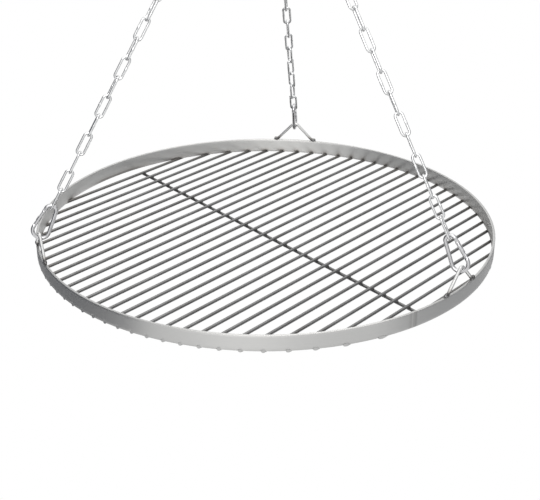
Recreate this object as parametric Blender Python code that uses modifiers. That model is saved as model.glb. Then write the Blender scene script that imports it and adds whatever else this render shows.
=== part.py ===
"""Round swing-grill grate hung on three chains.

A hoop of flat bar on edge carries parallel grill rods in notches in its lower edge, with one cross bar
below them. Three wire bails on the hoop hold snap hooks, and three long-link chains run from these up to
a ring. The ring hangs in a larger snap hook, which hooks on to the tripod's cable.

Metres, +Z up. The origin is where the cable's eye bears inside the top snap hook. The rods run along X.
"""
from math import acos, asin, atan2, cos, pi, radians, sin, sqrt

import bmesh
import bpy
from mathutils import Matrix, Vector

# Driving dimensions, in metres and degrees
running_gap = 0.0003          # between pieces that touch, are welded or bear on each other

band_diameter = 0.600         # over the outside of the hoop
band_height = 0.020
band_wall = 0.003
band_facets = 96

rod_diameter = 0.004
rod_pitch = 0.0198
rod_sides = 8
rim_margin = 0.010            # least space between an outermost rod's middle and the hoop

cross_bar_diameter = 0.004
cross_bar_overhang = 0.003    # past the outermost rods
cross_bar_skew = 7.6          # degrees off square to the rods

bail_wire = 0.004
bail_width = 0.052            # between the bends above the feet
bail_height = 0.027           # from the band's upper edge to the middle of the wire at the top
bail_top_radius = 0.0055      # wire centre line
bail_foot_length = 0.0055     # past the bends
bail_foot_radius = 0.003      # wire centre line
bail_azimuths = {"back": 33.0, "left": 151.5, "right": 272.0}    # degrees; welded on by eye

link_wire = 0.003
link_pitch = 0.026
link_width = 0.012
link_count = 21
link_bedding = 0.0005         # how far neighbouring links bed into each other
link_turns = {"back": 12.0, "left": 25.0, "right": -25.0}    # lowest link about the chain's line, degrees
chain_half_turns = {"back": 1, "left": 0, "right": 0}        # extra twist of a chain along its length

snap_length = 0.050           # over all
snap_wire = 0.005
snap_wide = 0.025             # over the wide end
snap_narrow = 0.018           # over the narrow end
snap_turns = {"back": 0.0, "left": 14.0, "right": -15.0}     # hook about the chain's line, degrees
top_snap_scale = 1.2          # the top hook is the next size of the same kind

gate_lug = 0.0026             # thickness of the flattened body ends that the gate straddles
gate_cheek_gap = 0.0004       # on each side of a flattened body end
rivet_diameter = 0.0018
spring_thickness = 0.0004

ring_wire = 0.005
ring_inside = 0.040
ring_link_spacing = 0.0078    # between neighbouring chains, along the ring's wire
ring_facets = 32

band_radius = 0.5 * band_diameter
rod_radius = 0.5 * rod_diameter
rods_aside = int((band_radius - band_wall - rim_margin) / rod_pitch)     # on either side of the middle rod
wire_sides_small = 1          # bevel resolution of chain wire, 6 sides
wire_sides_large = 2          # bevel resolution of all other wire, 8 sides

# Heights and places that follow from the sizes above

def sized_snap(scale):
    """Sizes of a pear-shaped snap hook in its own plane: across towards the gate, and up."""
    wire = snap_wire * scale
    wide = 0.5 * (snap_wide * scale - wire)
    narrow = 0.5 * (snap_narrow * scale - wire)
    span = snap_length * scale - wire - wide - narrow
    lean = asin((wide - narrow) / span)
    return {
        "wire": wire, "wide": wide, "narrow": narrow, "span": span, "lean": lean,
        "side": span * cos(lean),                      # straight side between the arcs
        "pivot": span * cos(lean) - 1.06 * wire,       # along that side, from the wide end
        "upper_end": span * cos(lean) - 0.42 * wire,   # the body's wire begins here
        "lower_end": 0.4 * wire,                       # and ends here, at the nose
        "gate_tip": 0.64 * wire,
        "nose": 1.6 * wire,                            # tip of the flattened nose
        "lug": 0.46 * wire,                            # half width of the flattened ends
    }


snap = sized_snap(1.0)
top_snap = sized_snap(top_snap_scale)


def chain_seat(bearing_wire):
    """Distance between wire centres where a link bears on a round wire."""
    return 0.5 * bearing_wire + running_gap + 0.5 * link_wire


ring_radius = 0.5 * (ring_inside + ring_wire)
top_snap_eye = -(top_snap["narrow"] - 0.5 * top_snap["wire"])          # centre of the narrow arc
top_snap_base = top_snap_eye - top_snap["span"]                         # centre of the wide arc
ring_hang = top_snap_base - top_snap["wide"]                            # middle of the hook's lowest wire
ring_top = ring_hang + 0.5 * (top_snap["wire"] + ring_wire) + running_gap
ring_centre = ring_top - ring_radius
ring_bottom = ring_centre - ring_radius

# A bail stands where both feet lie on the middle of the band's wall.
wall_radius = band_radius - 0.5 * band_wall
bail_radius = sqrt(wall_radius ** 2 - (0.5 * (bail_width + bail_foot_length)) ** 2)

# One chain from the top of a bail to the ring, along its own line
snap_seat = 0.5 * (bail_wire + snap["wire"]) + running_gap
snap_reach = snap_length - snap["wire"] - snap_seat
chain_foot = snap_reach - chain_seat(snap["wire"])
link_inside = link_pitch - link_bedding
link_run = link_inside + link_wire                                      # between wire centres, end to end
chain_run = link_run + (link_count - 1) * link_pitch
leg_length = chain_foot + chain_run - chain_seat(ring_wire)
leg_height = sqrt(leg_length ** 2 - bail_radius ** 2)

bail_top = ring_bottom - leg_height
band_top = bail_top - bail_height
band_bottom = band_top - band_height
rod_level = band_bottom                                                 # rods sit half in the band
cross_bar_level = rod_level - rod_radius - running_gap - 0.5 * cross_bar_diameter

# The outer chains bear a little higher on the ring than the middle one, and the grate swings about the mean.
grate_hang = ring_bottom + 0.5 * ring_radius * (1.0 - cos(ring_link_spacing / ring_radius))
ring_angles = {"left": -ring_link_spacing / ring_radius, "right": 0.0, "back": ring_link_spacing / ring_radius}


def start_scene():
    for item in list(bpy.data.objects):
        bpy.data.objects.remove(item, do_unlink=True)
    for name in ("Swing grill grate", "Cutters"):
        bpy.context.scene.collection.children.link(bpy.data.collections.new(name))


def steel(name, colour, roughness):
    """A plain metal; the colour is linear red, green and blue."""
    surface = bpy.data.materials.new(name)
    surface.use_nodes = True
    shader = surface.node_tree.nodes["Principled BSDF"]
    shader.inputs["Base Color"].default_value = (*colour, 1.0)
    shader.inputs["Roughness"].default_value = roughness
    shader.inputs["Metallic"].default_value = 1.0
    return surface


def add_piece(name, mesh, surface, place=Matrix(), smooth=True):
    """A named part of the grill."""
    piece = bpy.data.objects.new(name, mesh)
    bpy.data.collections["Swing grill grate"].objects.link(piece)
    piece.matrix_world = place
    mesh.materials.clear()
    mesh.materials.append(surface)
    if smooth:
        mesh.shade_smooth()
        mesh.set_sharp_from_angle(angle=radians(50))
    return piece


def add_cutter(name, mesh, place=Matrix()):
    """A shape that a Boolean joins on or takes away; it is not a part itself."""
    cutter = bpy.data.objects.new(name, mesh)
    bpy.data.collections["Cutters"].objects.link(cutter)
    cutter.matrix_world = place
    cutter.display_type = "WIRE"
    cutter.hide_render = True
    return cutter


def apply_boolean(piece, operation, cutter):
    boolean = piece.modifiers.new(cutter.name, "BOOLEAN")
    boolean.operation = operation
    boolean.object = cutter


def curve_to_mesh(curve):
    """The evaluated mesh of a curve, its caps welded; the curve is removed."""
    guide = bpy.data.objects.new(curve.name, curve)
    bpy.data.collections["Cutters"].objects.link(guide)
    guide.hide_render = True
    bpy.context.view_layer.update()
    mesh = bpy.data.meshes.new_from_object(guide.evaluated_get(bpy.context.evaluated_depsgraph_get()))
    shape = bmesh.new()
    shape.from_mesh(mesh)
    bmesh.ops.remove_doubles(shape, verts=shape.verts, dist=1e-6)
    bmesh.ops.recalc_face_normals(shape, faces=shape.faces)
    shape.to_mesh(mesh)
    shape.free()
    bpy.data.objects.remove(guide)
    bpy.data.curves.remove(curve)
    return mesh


def wire_mesh(name, points, diameter, closed=False, resolution=wire_sides_large):
    """Round wire through the points."""
    curve = bpy.data.curves.new(name, "CURVE")
    curve.dimensions = "3D"
    curve.bevel_depth = 0.5 * diameter
    curve.bevel_resolution = resolution
    curve.use_fill_caps = not closed
    spline = curve.splines.new("POLY")
    spline.points.add(len(points) - 1)
    for knot, point in zip(spline.points, points):
        knot.co = (*point, 1.0)
    spline.use_cyclic_u = closed
    return curve_to_mesh(curve)


def plate_mesh(name, outline, thickness):
    """A flat plate of the outline in its own XY plane, its thickness centred on that plane."""
    curve = bpy.data.curves.new(name, "CURVE")
    curve.dimensions = "2D"
    curve.fill_mode = "BOTH"
    curve.extrude = 0.5 * thickness
    spline = curve.splines.new("POLY")
    spline.points.add(len(outline) - 1)
    for knot, (across, up) in zip(spline.points, outline):
        knot.co = (across, up, 0.0, 1.0)
    spline.use_cyclic_u = True
    return curve_to_mesh(curve)


def turned_mesh(name, profile, steps):
    """A solid of revolution about Z. The profile runs from the top of the axis down to its foot."""
    mesh = bpy.data.meshes.new(name)
    mesh.from_pydata([(radius, 0.0, height) for radius, height in profile],
                     [(index, index + 1) for index in range(len(profile) - 1)], [])
    guide = add_cutter(name + " guide", mesh)
    screw = guide.modifiers.new("Turn", "SCREW")
    screw.steps = steps
    screw.render_steps = steps
    screw.use_merge_vertices = True
    screw.merge_threshold = 1e-6
    bpy.context.view_layer.update()
    solid = bpy.data.meshes.new_from_object(guide.evaluated_get(bpy.context.evaluated_depsgraph_get()))
    bpy.data.objects.remove(guide)
    return solid


def rod_mesh(name, diameter, length, sides=rod_sides):
    """A round rod along X, centred on the origin."""
    shape = bmesh.new()
    bmesh.ops.create_cone(shape, cap_ends=True, segments=sides, radius1=0.5 * diameter,
                          radius2=0.5 * diameter, depth=length,
                          matrix=Matrix.Rotation(0.5 * pi, 4, "Y"))
    mesh = bpy.data.meshes.new(name)
    shape.to_mesh(mesh)
    shape.free()
    return mesh


def box_mesh(name, low, high):
    shape = bmesh.new()
    centre = (Vector(low) + Vector(high)) * 0.5
    size = Vector(high) - Vector(low)
    bmesh.ops.create_cube(shape, size=1.0, matrix=Matrix.Translation(centre) @ Matrix.Diagonal((*size, 1.0)))
    mesh = bpy.data.meshes.new(name)
    shape.to_mesh(mesh)
    shape.free()
    return mesh


def joined_copies(name, source, places):
    """One mesh with a copy of the source at each place."""
    shape = bmesh.new()
    for place in places:
        copy = source.copy()
        copy.transform(place)
        shape.from_mesh(copy)
        bpy.data.meshes.remove(copy)
    mesh = bpy.data.meshes.new(name)
    shape.to_mesh(mesh)
    shape.free()
    return mesh


def arc(centre, radius, start, end, steps):
    """Points on a circle in a plane, both ends included."""
    angles = [start + (end - start) * step / steps for step in range(steps + 1)]
    return [Vector((centre[0] + radius * cos(angle), centre[1] + radius * sin(angle))) for angle in angles]


def rounded(corners, radii, steps):
    """An open outline whose inner corners are rounded by arcs."""
    points = [Vector(corners[0])]
    for index in range(1, len(corners) - 1):
        before, corner, after = (Vector(corners[index + offset]) for offset in (-1, 0, 1))
        back = (before - corner).normalized()
        ahead = (after - corner).normalized()
        opening = acos(back.dot(ahead))
        radius = radii[index - 1]
        bisector = (back + ahead).normalized()
        centre = corner + bisector * radius / sin(0.5 * opening)
        first = corner + back * radius / (sin(0.5 * opening) / cos(0.5 * opening)) - centre
        turn = pi - opening
        if back.x * ahead.y - back.y * ahead.x > 0.0:
            turn = -turn
        start = atan2(first.y, first.x)
        points += arc(centre, radius, start, start + turn, steps)
    return points + [Vector(corners[-1])]


def frame_of(across, up, origin):
    """A place whose X is across, whose Y is up and whose Z is square to both."""
    across = across.normalized()
    up = up.normalized()
    square = across.cross(up)
    return Matrix((
        (across.x, up.x, square.x, origin.x),
        (across.y, up.y, square.y, origin.y),
        (across.z, up.z, square.z, origin.z),
        (0.0, 0.0, 0.0, 1.0)))


def make_band(surface):
    """Flat bar on edge, rolled to a hoop, with a half-round notch for each end of each rod."""
    inner = band_radius - band_wall
    profile = [(inner, band_bottom), (inner, band_top), (band_radius, band_top), (band_radius, band_bottom)]
    shape = bmesh.new()
    verts = [shape.verts.new((radius, 0.0, height)) for radius, height in profile]
    edges = [shape.edges.new((verts[index], verts[(index + 1) % 4])) for index in range(4)]
    bmesh.ops.spin(shape, geom=verts + edges, cent=(0, 0, 0), axis=(0, 0, 1), angle=2 * pi,
                   steps=band_facets, use_merge=True)
    bmesh.ops.remove_doubles(shape, verts=shape.verts, dist=1e-6)
    bmesh.ops.recalc_face_normals(shape, faces=shape.faces)
    mesh = bpy.data.meshes.new("band")
    shape.to_mesh(mesh)
    shape.free()
    band = add_piece("band", mesh, surface)
    notch = rod_mesh("notch", rod_diameter + 2 * running_gap, band_diameter + rod_diameter)
    notches = joined_copies("notches", notch, [Matrix.Translation(place) for place in rod_places()])
    apply_boolean(band, "DIFFERENCE", add_cutter("notches", notches))


def rod_places():
    return [Vector((0.0, aside * rod_pitch, rod_level)) for aside in range(-rods_aside, rods_aside + 1)]


def make_rods(surface):
    """Parallel round rods whose ends come flush with the outside of the band."""
    rods = []
    for index, place in enumerate(rod_places()):
        reach = sqrt(band_radius ** 2 - (abs(place.y) + rod_radius) ** 2)
        mesh = rod_mesh("rod", rod_diameter, 2 * reach)
        rods.append(add_piece("rod_%02d" % (index + 1), mesh, surface, Matrix.Translation(place)))
    return rods


def make_cross_bar(surface):
    """One bar welded under all the rods."""
    skew = radians(cross_bar_skew)
    reach = rods_aside * rod_pitch + rod_radius + cross_bar_overhang
    mesh = rod_mesh("cross_bar", cross_bar_diameter, 2 * reach / cos(skew))
    place = Matrix.Translation((0.0, 0.0, cross_bar_level)) @ Matrix.Rotation(0.5 * pi - skew, 4, "Z")
    return add_piece("cross_bar", mesh, surface, place)


def make_bail(side, surface):
    """An inverted V of wire, its feet bent outward along the band's upper edge."""
    foot = 0.5 * bail_wire + running_gap
    reach = 0.5 * bail_width
    crown = bail_height - bail_top_radius - foot
    leg_angle = atan2(crown, reach) + asin(bail_top_radius / sqrt(crown ** 2 + reach ** 2))
    tip = foot + reach * sin(leg_angle) / cos(leg_angle)
    corners = [(-reach - bail_foot_length, foot), (-reach, foot), (0.0, tip), (reach, foot),
               (reach + bail_foot_length, foot)]
    outline = rounded(corners, [bail_foot_radius, bail_top_radius, bail_foot_radius], 4)
    mesh = wire_mesh("bail", [(point.x, point.y, 0.0) for point in outline], bail_wire)
    outward = radial(side)
    along = Vector((0.0, 0.0, 1.0)).cross(outward)
    seat = outward * bail_radius + Vector((0.0, 0.0, band_top))
    return add_piece("bail_" + side, mesh, surface, frame_of(along, Vector((0.0, 0.0, 1.0)), seat))


def radial(side):
    azimuth = radians(bail_azimuths[side])
    return Vector((cos(azimuth), sin(azimuth), 0.0))


def snap_point(sizes, along, out=0.0):
    """A point on the gate's side of a hook: along the straight side, and out from it."""
    lean = sizes["lean"]
    normal = Vector((cos(lean), sin(lean)))
    rise = Vector((-sin(lean), cos(lean)))
    return normal * (sizes["wide"] + out) + rise * along


def gate_frame(sizes, place):
    """The gate's own frame: origin on the rivet, Z up along the gate, X outward."""
    lean = sizes["lean"]
    pivot = snap_point(sizes, sizes["pivot"])
    turn = place.to_3x3()
    outward = turn @ Vector((cos(lean), sin(lean), 0.0))
    upward = turn @ Vector((-sin(lean), cos(lean), 0.0))
    square = upward.cross(outward)
    origin = place @ Vector((pivot.x, pivot.y, 0.0))
    return Matrix((
        (outward.x, square.x, upward.x, origin.x),
        (outward.y, square.y, upward.y, origin.y),
        (outward.z, square.z, upward.z, origin.z),
        (0.0, 0.0, 0.0, 1.0)))


def make_snap(name, sizes, place, surface):
    """A snap hook: a bent wire body with flattened ends, a sprung gate, its rivet and its spring."""
    wire, lean, lug = sizes["wire"], sizes["lean"], sizes["lug"]
    rivet_hole = rivet_diameter + 2 * running_gap
    path = [snap_point(sizes, sizes["upper_end"])]
    path += arc((0.0, sizes["span"]), sizes["narrow"], lean, pi - lean, 6)
    path += arc((0.0, 0.0), sizes["wide"], pi - lean, 2 * pi + lean, 10)
    path += [snap_point(sizes, sizes["lower_end"])]
    body = add_piece(name, wire_mesh(name, [(point.x, point.y, 0.0) for point in path], wire), surface, place)
    eye = snap_point(sizes, sizes["pivot"])
    eye_arc = arc((0.0, 0.0), lug, pi, 2 * pi, 6)
    tilt = Matrix.Rotation(lean, 2)
    upper = [eye + tilt @ point for point in eye_arc]
    upper += [snap_point(sizes, sizes["upper_end"] + 0.5 * wire, out) for out in (lug, -lug)]
    nose_arc = arc((0.0, sizes["nose"] - lug), lug, 0.0, pi, 6)
    nose_foot = snap_point(sizes, 0.0)
    nose = [nose_foot + tilt @ Vector((lug, -0.5 * wire)) * 0.9] + [nose_foot + tilt @ point for point in nose_arc]
    nose += [nose_foot + tilt @ Vector((-lug, -0.5 * wire)) * 0.9]
    apply_boolean(body, "UNION", add_cutter(name + " upper lug", plate_mesh("lug", upper, gate_lug), place))
    apply_boolean(body, "UNION", add_cutter(name + " nose", plate_mesh("nose", nose, gate_lug), place))
    hinge = gate_frame(sizes, place)
    across = hinge @ Matrix.Rotation(0.5 * pi, 4, "X")
    bore = rod_mesh("bore", rivet_hole, 2 * wire, 12)
    bore.transform(Matrix.Rotation(0.5 * pi, 4, "Z"))
    apply_boolean(body, "DIFFERENCE", add_cutter(name + " rivet hole", bore, hinge))

    radius = 0.5 * wire
    length = sizes["pivot"] - sizes["gate_tip"]
    chamfer = 0.16 * wire
    profile = [(radius * sin(angle), radius * cos(angle)) for angle in (0.5 * pi * step / 4 for step in range(5))]
    profile += [(radius, chamfer - length), (radius - chamfer, -length), (0.0, -length)]
    gate = add_piece(name.replace("snap", "gate"), turned_mesh("gate", profile, 12), surface, hinge)
    slot = 0.5 * gate_lug + gate_cheek_gap
    spring_pocket = lug + 0.4 * (sizes["span"] - 2.45 * wire)     # shares the gate's length with its solid middle
    upper_slot = box_mesh("upper slot", (-wire, -slot, -spring_pocket), (wire, slot, wire))
    tip_slot = box_mesh("tip slot", (-wire, -slot, -length - wire),
                        (wire, slot, -(sizes["pivot"] - sizes["nose"] - 2 * running_gap)))
    apply_boolean(gate, "DIFFERENCE", add_cutter(name + " upper slot", upper_slot, hinge))
    apply_boolean(gate, "DIFFERENCE", add_cutter(name + " tip slot", tip_slot, hinge))
    apply_boolean(gate, "DIFFERENCE", add_cutter(name + " gate hole", bore, hinge))

    seat = radius + running_gap
    head = 0.34 * wire
    crown = 0.12 * wire
    rivet_profile = [(0.0, seat + crown), (0.6 * head, seat + crown), (head, seat + 0.4 * crown), (head, seat),
                     (0.5 * rivet_diameter, seat)]
    rivet_profile += [(reach, -height) for reach, height in reversed(rivet_profile)]
    rivet = add_piece(name.replace("snap", "rivet"), turned_mesh("rivet", rivet_profile, 8), surface, across)

    spring_start = lug + 2 * running_gap
    spring_end = spring_pocket - running_gap
    bow = 0.22 * wire
    steps = 6
    outer = [Vector((-bow + 2 * bow * sin(pi * step / steps), -spring_start - (spring_end - spring_start) * step / steps))
             for step in range(steps + 1)]
    inner = [point - Vector((spring_thickness, 0.0)) for point in reversed(outer)]
    leaf = plate_mesh("spring", outer + inner, gate_lug - 2 * running_gap)
    leaf.transform(Matrix.Rotation(0.5 * pi, 4, "X"))
    spring = add_piece(name.replace("snap", "gate_spring"), leaf, surface, hinge)
    return [body, gate, rivet, spring]


def link_mesh():
    """One long link about its own middle: its length lies along X and its width along Y."""
    radius = 0.5 * (link_width - link_wire)
    straight = 0.5 * link_run - radius
    points = arc((straight, 0.0), radius, -0.5 * pi, 0.5 * pi, 4)
    points += arc((-straight, 0.0), radius, 0.5 * pi, 3 * 0.5 * pi, 4)
    return wire_mesh("link", [(point.x, point.y, 0.0) for point in points], link_wire, True, wire_sides_small)


def leg(side):
    """The two ends of a chain's line: on the ring's wire, and in the top of the bail."""
    angle = ring_angles[side]
    upper = Vector((ring_radius * sin(angle), 0.0, ring_centre - ring_radius * cos(angle)))
    lower = radial(side) * bail_radius + Vector((0.0, 0.0, bail_top))
    return upper, lower


def leg_axes(side):
    """Directions at a chain's line: up it, inward square to it, and along the band square to both."""
    upper, lower = leg(side)
    upward = (upper - lower).normalized()
    inward = Vector((0.0, 0.0, 1.0)).cross(radial(side)).cross(upward).normalized()
    return upward, inward, upward.cross(inward)


def snap_place(side):
    """Where a lower hook hangs: its wide end bears up against the top of the bail."""
    upper, lower = leg(side)
    upward, inward, tangent = leg_axes(side)
    turn = radians(snap_turns[side])
    base = lower - upward * (snap_seat - snap["wide"])
    return frame_of(inward * cos(turn) - tangent * sin(turn), upward, base)


def make_chain(side, link, surface):
    """A taut run of links, bedded into each other, from the snap hook up to the ring."""
    upper, lower = leg(side)
    upward, inward, tangent = leg_axes(side)
    down = -upward
    first = chain_seat(ring_wire)
    last = (lower - upper).length - chain_foot
    pitch = (first + last - link_run) / (link_count - 1)
    angle = ring_angles[side]
    ring_tangent = Vector((cos(angle), 0.0, sin(angle)))
    wanted = ring_tangent.cross(down)
    foot_turn = radians(link_turns[side])
    head_turn = atan2(wanted.dot(inward), wanted.dot(tangent))
    twist = head_turn - foot_turn - 0.5 * pi * (link_count - 1)
    twist = (twist + 0.5 * pi) % pi - 0.5 * pi + pi * chain_half_turns[side]
    places = []
    for index in range(link_count):
        from_foot = link_count - 1 - index
        turn = foot_turn + 0.5 * pi * from_foot + twist * from_foot / (link_count - 1)
        width = tangent * cos(turn) + inward * sin(turn)
        centre = upper + down * (0.5 * link_run - first + pitch * index)
        places.append(frame_of(down, width, centre))
    chain = add_piece("chain_" + side, joined_copies("chain_" + side, link, places[0::2]), surface)
    others = joined_copies("links_" + side, link, places[1::2])
    apply_boolean(chain, "UNION", add_cutter("links_" + side, others))
    return chain


def make_ring(surface):
    bpy.ops.mesh.primitive_torus_add(major_radius=ring_radius, minor_radius=0.5 * ring_wire,
                                     major_segments=ring_facets, minor_segments=8,
                                     location=(0.0, 0.0, ring_centre), rotation=(0.5 * pi, 0.0, 0.0))
    mesh = bpy.context.object.data
    place = bpy.context.object.matrix_world.copy()
    bpy.data.objects.remove(bpy.context.object)
    return add_piece("ring", mesh, surface, place)


def add_pivot(name, height, parent=None):
    """An empty on a joint's axis."""
    pivot = bpy.data.objects.new(name, None)
    bpy.data.collections["Swing grill grate"].objects.link(pivot)
    pivot.location = (0.0, 0.0, height)
    bpy.context.view_layer.update()
    if parent:
        hang(pivot, parent)
    return pivot


def hang(piece, pivot):
    piece.parent = pivot
    piece.matrix_parent_inverse = pivot.matrix_world.inverted()


start_scene()
band_steel = steel("brushed stainless bar", (0.56, 0.56, 0.55), 0.36)
rod_steel = steel("drawn stainless rod", (0.36, 0.36, 0.36), 0.34)
bail_steel = steel("bright stainless wire", (0.60, 0.60, 0.60), 0.24)
chain_steel = steel("zinc plated chain", (0.72, 0.73, 0.75), 0.22)
snap_steel = steel("polished hook", (0.70, 0.71, 0.74), 0.16)

ring_pivot = add_pivot("ring pivot", ring_hang)
grate_pivot = add_pivot("grate pivot", grate_hang, ring_pivot)
hang(make_ring(snap_steel), ring_pivot)

hung = make_rods(rod_steel) + [make_cross_bar(rod_steel)]
make_band(band_steel)
hung.append(bpy.data.objects["band"])
link = link_mesh()
for side in bail_azimuths:
    hung.append(make_bail(side, bail_steel))
    hung += make_snap("snap_" + side, snap, snap_place(side), snap_steel)
    hung.append(make_chain(side, link, chain_steel))
for piece in hung:
    hang(piece, grate_pivot)

top_place = frame_of(Vector((0.0, 1.0, 0.0)), Vector((0.0, 0.0, 1.0)), Vector((0.0, 0.0, top_snap_base)))
make_snap("snap_top", top_snap, top_place, snap_steel)
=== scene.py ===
from math import acos, asin, atan2, copysign, cos, exp, pi, radians, sin, sqrt

import bmesh
import bpy
from mathutils import Matrix, Vector


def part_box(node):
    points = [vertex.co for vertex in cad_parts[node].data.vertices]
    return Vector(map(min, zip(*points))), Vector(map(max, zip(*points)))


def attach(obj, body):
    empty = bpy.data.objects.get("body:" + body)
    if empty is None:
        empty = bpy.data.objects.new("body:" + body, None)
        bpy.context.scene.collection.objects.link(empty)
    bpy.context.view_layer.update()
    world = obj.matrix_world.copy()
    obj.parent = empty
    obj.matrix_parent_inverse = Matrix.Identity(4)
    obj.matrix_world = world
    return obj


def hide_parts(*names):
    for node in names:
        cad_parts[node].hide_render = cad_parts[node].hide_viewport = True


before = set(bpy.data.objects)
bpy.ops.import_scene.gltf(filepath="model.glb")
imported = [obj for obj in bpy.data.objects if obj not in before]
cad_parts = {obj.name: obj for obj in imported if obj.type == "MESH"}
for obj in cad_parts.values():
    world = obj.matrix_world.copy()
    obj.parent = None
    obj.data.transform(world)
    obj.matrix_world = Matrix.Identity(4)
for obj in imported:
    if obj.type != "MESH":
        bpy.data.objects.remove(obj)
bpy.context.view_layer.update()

# Studio and view. The grate hangs in a white tent: a pale floor below, soft lamps above, in front and behind,
# and grey flags beside, behind and under it, which only reflections see and which draw dark edges on bright
# steel. The camera stands in front of the grate and looks down on it, as in the photograph.
band_low, band_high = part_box("band")
view_front = radians(221.855)                # where the camera stands, round the grate
view_distance = 1.4919
view_rise = radians(25.643)
view_pitch = radians(26.517)
view_yaw = radians(0.246)
view_roll = radians(0.046)
photo_width = 540
photo_focal = 1117.25                        # pixels
sensor_width = 36.0
floor_drop = 0.62                            # from the rods down to the floor
floor_size = 9.0
tent_light = 0.55
lamp_warmth = (1.0, 0.985, 0.965)

upright = Vector((0.0, 0.0, 1.0))
to_viewer = Vector((cos(view_front), sin(view_front), 0.0))
away = -to_viewer
rightward = away.cross(upright)


def studio_point(right, beyond, above):
    """A point given as seen from the camera: to the right, beyond the grate's middle, above the rods."""
    return rightward * right + away * beyond + upright * (band_low.z + above)


def placed(name, data):
    """A new object in the scene."""
    thing = bpy.data.objects.new(name, data)
    bpy.context.collection.objects.link(thing)
    return thing


def place_camera():
    camera = bpy.data.cameras.new("photo_camera")
    camera.sensor_width = sensor_width
    camera.lens = photo_focal / photo_width * sensor_width
    camera.clip_start = 0.05
    camera.clip_end = 30.0
    ahead = (rightward * sin(view_yaw) + away * cos(view_yaw)) * cos(view_pitch)
    ahead = (ahead - upright * sin(view_pitch)).normalized()
    right = ahead.cross(upright).normalized()
    up = right.cross(ahead)
    rolled_right = right * cos(view_roll) + up * sin(view_roll)
    rolled_up = up * cos(view_roll) - right * sin(view_roll)
    stand = placed("photo_camera", camera)
    stand.matrix_world = Matrix((rolled_right, rolled_up, -ahead)).transposed().to_4x4()
    stand.location = studio_point(0.0, -view_distance * cos(view_rise), view_distance * sin(view_rise))
    bpy.context.scene.camera = stand


def white_for_view(tree, seen, lit, output):
    """Gives the output a white glow where the camera, a mirror or a glass sees it, and else a lit surface."""
    nodes, links = tree.nodes, tree.links
    path = nodes.new("ShaderNodeLightPath")
    amount = path.outputs["Is Camera Ray"]
    for ray in ("Is Glossy Ray", "Is Transmission Ray"):
        either = nodes.new("ShaderNodeMath")
        either.operation = "MAXIMUM"
        links.new(amount, either.inputs[0])
        links.new(path.outputs[ray], either.inputs[1])
        amount = either.outputs[0]
    mix = nodes.new("ShaderNodeMixShader")
    links.new(amount, mix.inputs["Fac"])
    links.new(lit.outputs[0], mix.inputs[1])
    links.new(seen.outputs[0], mix.inputs[2])
    links.new(mix.outputs[0], nodes[output].inputs["Surface"])


def build_world():
    world = bpy.data.worlds.new("white_tent")
    bpy.context.scene.world = world
    world.use_nodes = True
    lit = world.node_tree.nodes["Background"]
    seen = world.node_tree.nodes.new("ShaderNodeBackground")
    for background, strength in ((lit, tent_light), (seen, 1.0)):
        background.inputs["Color"].default_value = (1.0, 1.0, 1.0, 1.0)
        background.inputs["Strength"].default_value = strength
    white_for_view(world.node_tree, seen, lit, "World Output")


def panel(name, corners, surface):
    mesh = bpy.data.meshes.new(name)
    mesh.from_pydata(corners, [], [(0, 1, 2, 3)])
    mesh.materials.append(surface)
    return placed(name, mesh)


def build_floor():
    pale = bpy.data.materials.new("pale_floor")
    pale.use_nodes = True
    nodes = pale.node_tree.nodes
    lit = nodes["Principled BSDF"]
    lit.inputs["Base Color"].default_value = (0.9, 0.9, 0.9, 1.0)
    lit.inputs["Roughness"].default_value = 0.9
    lit.inputs["Specular IOR Level"].default_value = 0.1
    white_for_view(pale.node_tree, nodes.new("ShaderNodeEmission"), lit, "Material Output")
    half_size = 0.5 * floor_size
    floor = panel("floor", [(x * half_size, y * half_size, band_low.z - floor_drop)
                            for x, y in ((-1, -1), (1, -1), (1, 1), (-1, 1))], pale)


def build_flag(name, centre, facing, up, width, height, grey):
    """A plain grey panel. Only reflections see it, never the camera."""
    paint = bpy.data.materials.new(name)
    paint.use_nodes = True
    nodes = paint.node_tree.nodes
    nodes.remove(nodes["Principled BSDF"])
    glow = nodes.new("ShaderNodeEmission")
    glow.inputs["Color"].default_value = (*grey, 1.0)
    paint.node_tree.links.new(glow.outputs[0], nodes["Material Output"].inputs["Surface"])
    rise = up * 0.5 * height
    side = facing.cross(up) * 0.5 * width
    low, high = centre - rise, centre + rise
    flag = panel(name, [low - side, low + side, high + side, high - side], paint)
    flag.visible_camera = False
    flag.visible_shadow = False
    flag.visible_diffuse = False


def add_lamp(name, place, aim, size, power):
    lamp = bpy.data.lights.new(name, "AREA")
    lamp.shape = "RECTANGLE"
    lamp.size, lamp.size_y = size
    lamp.energy = power
    lamp.color = lamp_warmth
    stand = placed(name, lamp)
    stand.location = place
    stand.rotation_mode = "QUATERNION"
    stand.rotation_quaternion = (aim - place).to_track_quat("-Z", "Y")
    stand.visible_camera = False


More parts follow.
